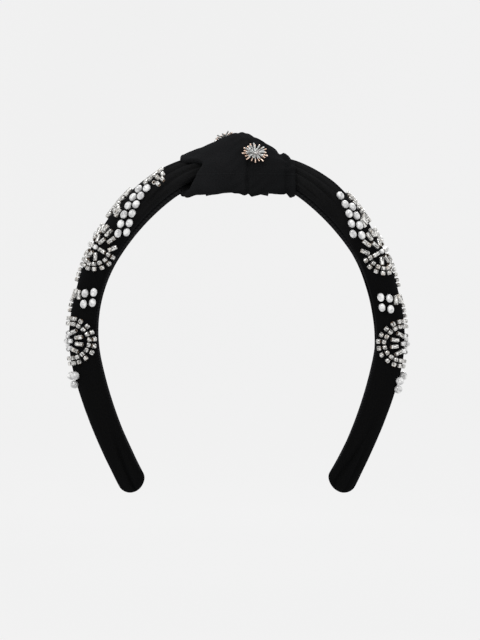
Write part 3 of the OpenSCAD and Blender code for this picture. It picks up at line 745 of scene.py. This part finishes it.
def seated_bead(node, points):
    """A bead of a node, moved onto the sleeve's cloth, with its hole along the cloth."""
    centre, axis, half, r = bead_frame(points)
    kind = bead_kind(node, half, r)
    if kind == "pearl" and half > 1.05 * r:
        half, r = half * OVAL_LENGTH, r * OVAL_R
    if node.startswith("lower_rosette_seeds") and centre.y < 0:
        centre = centre + Vector((RING_STRETCH * (centre.x - math.copysign(RING_X, centre.x)), 0, 0))
    skin = SKIN["left" if node.endswith("left") else "right"]
    place, normal, _, _ = skin.find_nearest(centre * MM)
    if kind != "pearl":
        axis = (axis - normal * axis.dot(normal)).normalized()
    return kind, place * 1000 + normal * r * SEAT[kind], axis, half, r


for node, obj in list(NODES.items()):
    slot = SLOT[node]
    if slot not in ("pearl", "seed_glass", "bugle_glass"):
        continue
    beads = [seated_bead(node, points) for points in islands(obj)]
    material = MATERIALS["bugle_glass" if node.startswith("knot_cluster") else slot]
    piece = bead_mesh("beads_" + node, beads, material, MATERIALS["thread" if slot == "pearl" else "hole"])
    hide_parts(node)
    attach(piece, BODY[node])

# ---------------------------------------------------------------- starbursts, in mm
RAYS, SPIKES, STONES = 18, 11, 7
# the rays start this far from the centre, and short and long ones take turns
RAY_START = 1.7
SHORT_RAY, LONG_RAY = 4.9, 5.6
# the silver share of a ray; the front star's rays that lie to the front show more gold
SILVER_SHARE, FRONT_SHARE = 0.74, 0.5
# a bar's profile: how far along it, and its radius as shares of those near its start and its end
BAR_PROFILE = ((0.0, 0.35, 0), (0.06, 0.85, 0), (0.16, 1, 0), (0.5, 0.5, 0.5), (0.86, 0, 1), (0.95, 0, 0.82),
               (1.0, 0, 0.4))
# a stone's profile from below its girdle to its small table: how far up, and radius
GEM_PROFILE = ((0.0, 0.5), (0.25, 0.95), (0.42, 1.0), (0.55, 0.96), (0.85, 0.62), (1.0, 0.5))


def ring(centre, u, w, sides):
    """A closed ring of points about a centre; u and w are its two half axes."""
    angles = [2 * math.pi * j / sides for j in range(sides)]
    return [centre + u * math.cos(g) + w * math.sin(g) for g in angles]


def bar(place, along, up, length, r0, r1, sides=8):
    """A tapered bar with rounded ends, as rings of points."""
    wide = along.cross(up).normalized()
    up = wide.cross(along).normalized()
    rings = []
    for share, k0, k1 in BAR_PROFILE:
        radius = k0 * r0 + k1 * r1
        rings.append(ring(place + along * share * length, wide * radius, up * (radius * 0.8), sides))
    return rings


def gem(centre, up, r, h, sides):
    """A round cut stone, as rings of points."""
    u = up.orthogonal().normalized()
    w = up.cross(u)
    return [ring(centre + up * h * rise, u * (r * k), w * (r * k), sides) for rise, k in GEM_PROFILE]


def from_rings(name, groups, material, rounded):
    """One piece from groups of rings; each group is a closed form with its own place in the texture."""
    verts, faces, uvs = [], [], []
    for g, rings in enumerate(groups):
        base, n = len(verts), len(rings[0])
        verts += [tuple(p * MM) for points in rings for p in points]
        for i in range(len(rings) - 1):
            here, there = base + i * n, base + (i + 1) * n
            for j in range(n):
                k = (j + 1) % n
                faces.append((here + j, here + k, there + k, there + j))
                u0, u1 = j * 0.7 + 7 * g, j * 0.7 + 0.7 + 7 * g
                uvs += [u0, i, u1, i, u1, i + 1, u0, i + 1]
        for here, order in ((base, range(n - 1, -1, -1)), (len(verts) - n, range(n))):
            faces.append(tuple(here + j for j in order))
            uvs += [v for j in order for v in (7 * g + math.cos(TURN * j / n), math.sin(TURN * j / n))]
    obj = make_mesh(name, verts, faces, [material], uvs, rounded=rounded)
    turn_outward(obj)
    return obj


def plate_frame(word):
    """The centre of an ornament's plate, and the way it faces."""
    points = np.array([v.co[:] for v in NODES[word + "_star_base"].data.vertices]) * 1000
    middle = points.mean(0)
    up = Vector(np.linalg.eigh(np.cov((points - middle).T))[1][:, 0])
    if up.z < 0:
        up = -up
    if word == "front":
        up = (up + Vector((0, 0, 0.12))).normalized()
    return Vector(middle) + up * 0.1, up


def make_star(word):
    centre, up = plate_frame(word)
    u = (Vector((1, 0, 0)) - up * up.x).normalized()
    w = up.cross(u)
    rng = random.Random(word)
    plate = [gem(centre - up * 0.6, up, 2.2, 0.9, 20)]
    gold, silver, glass = [], [], []
    for i in range(RAYS):
        g = 2 * math.pi * (i + 0.5) / RAYS + rng.uniform(-0.05, 0.05)
        out = (u * math.cos(g) + w * math.sin(g) + up * rng.uniform(-0.03, 0.04)).normalized()
        length = (LONG_RAY if i % 2 else SHORT_RAY) - RAY_START
        share = FRONT_SHARE if word == "front" and out.y < 0.05 else SILVER_SHARE
        start = centre + out * RAY_START - up * 0.15
        silver.append(bar(start, out, up, length * share, 0.24, 0.34))
        joint = start + out * (length * (share - 0.06))
        gold.append(bar(joint, out, up, length * (1.06 - share), 0.34, 0.33))
    for i in range(SPIKES):
        g = 2 * math.pi * i / SPIKES + rng.uniform(-0.06, 0.06)
        out = (u * math.cos(g) + w * math.sin(g) + up * 0.22).normalized()
        glass.append(bar(centre + out * 1.0 + up * 0.35, out, up, 3.1 + 0.6 * (i % 2), 0.26, 0.42, 5))
    for i in range(STONES):
        g = 2 * math.pi * i / STONES + 0.3
        glass.append(gem(centre + (u * math.cos(g) + w * math.sin(g)) * 1.2 + up * 0.7, up, 0.42, 0.7, 6))
    glass.append(gem(centre + up * 0.8, up, 0.62, 0.95, 8))
    for kind, groups, slot in (("base", plate, "silver_metal"), ("gold_rays", gold, "gold_metal"),
                               ("silver_rays", silver, "silver_metal"), ("crystals", glass, "crystal")):
        piece = from_rings("star_%s_%s" % (word, kind), groups, MATERIALS[slot], kind.endswith("rays"))
        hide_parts("%s_star_%s" % (word, kind))
        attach(piece, "crown")


make_star("front")
make_star("rear")

# ---------------------------------------------------------------- floor
FLOOR_Z = -0.16
STAGE_SIDE = 2.2
STAGE_FRONT, STAGE_BEND, STAGE_TOP = -1.6, 0.9, 1.8
BEND_R = 0.5
STUDIO_GREY = 0.849


def stage():
    """A pale floor that curves up into a backdrop, in an even pale room."""
    m = Mat("pale_floor", Roughness=0.9, Base_Color=(0.03, 0.03, 0.03, 1), Specular_IOR_Level=0.0,
            Emission_Strength=0.965)
    m.feed("Emission Color", m.ramp(m.noise(m.coords(), 2.0, 2.0), [(0.3, 0.872), (0.7, 0.886)]))
    profile = [(STAGE_FRONT, FLOOR_Z), (STAGE_BEND, FLOOR_Z)]
    for k in range(1, 13):
        a = math.pi / 2 * k / 12
        profile.append((STAGE_BEND + BEND_R * math.sin(a), FLOOR_Z + BEND_R - BEND_R * math.cos(a)))
    profile.append((STAGE_BEND + BEND_R, STAGE_TOP))
    verts = [(x, y, z) for y, z in profile for x in (-STAGE_SIDE, STAGE_SIDE)]
    faces = [(i, i + 1, i + 3, i + 2) for i in range(0, len(verts) - 2, 2)]
    make_mesh("floor", verts, faces, [m.material])
    world = bpy.data.worlds.new("studio")
    bpy.context.scene.world = world
    world.use_nodes = True
    background = world.node_tree.nodes["Background"]
    background.inputs["Color"].default_value = (STUDIO_GREY, STUDIO_GREY, STUDIO_GREY, 1)
    background.inputs["Strength"].default_value = 1.0


stage()
